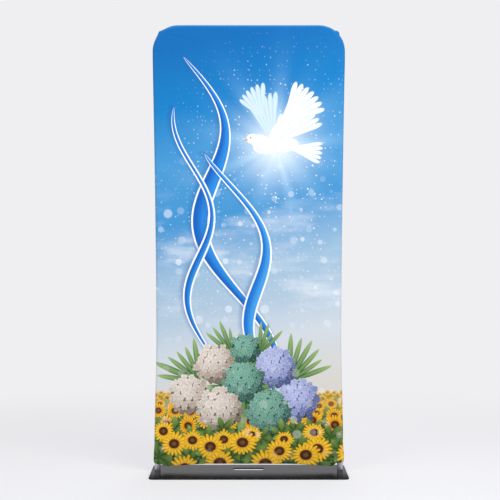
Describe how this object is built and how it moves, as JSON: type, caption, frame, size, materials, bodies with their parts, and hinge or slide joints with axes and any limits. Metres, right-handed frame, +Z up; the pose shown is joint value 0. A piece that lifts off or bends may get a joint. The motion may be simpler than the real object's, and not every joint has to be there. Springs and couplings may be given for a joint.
{
  "type": "church banner cloth sleeve on a tube frame stand with a base plate",
  "caption": "Upright church banner: a printed stretch cloth sleeve with round top corners, pulled over a bowed tube frame that stands on a flat steel base plate with a carry slot.",
  "frame": {"origin": "on the floor, under the middle of the base plate", "axes": "+Z up; -Y towards the printed front; +X to the right as seen from the front"},
  "size_m": [0.932, 0.324, 2.134],
  "materials": {
    "base_steel": "satin dark grey powder coat",
    "spigot_steel": "zinc plated",
    "frame_tube": "satin silver anodised",
    "printed_cloth": "dye printed stretch knit",
    "plain_cloth": "plain white stretch knit"
  },
  "bodies": {
    "root": {"base_plate": "base_steel", "spigot_left": "spigot_steel", "spigot_right": "spigot_steel", "pole_left": "frame_tube", "pole_right": "frame_tube", "elbow_left": "frame_tube", "elbow_right": "frame_tube", "top_rail": "frame_tube", "front_panel": "printed_cloth", "back_panel": "plain_cloth"}
  },
  "joints": []
}
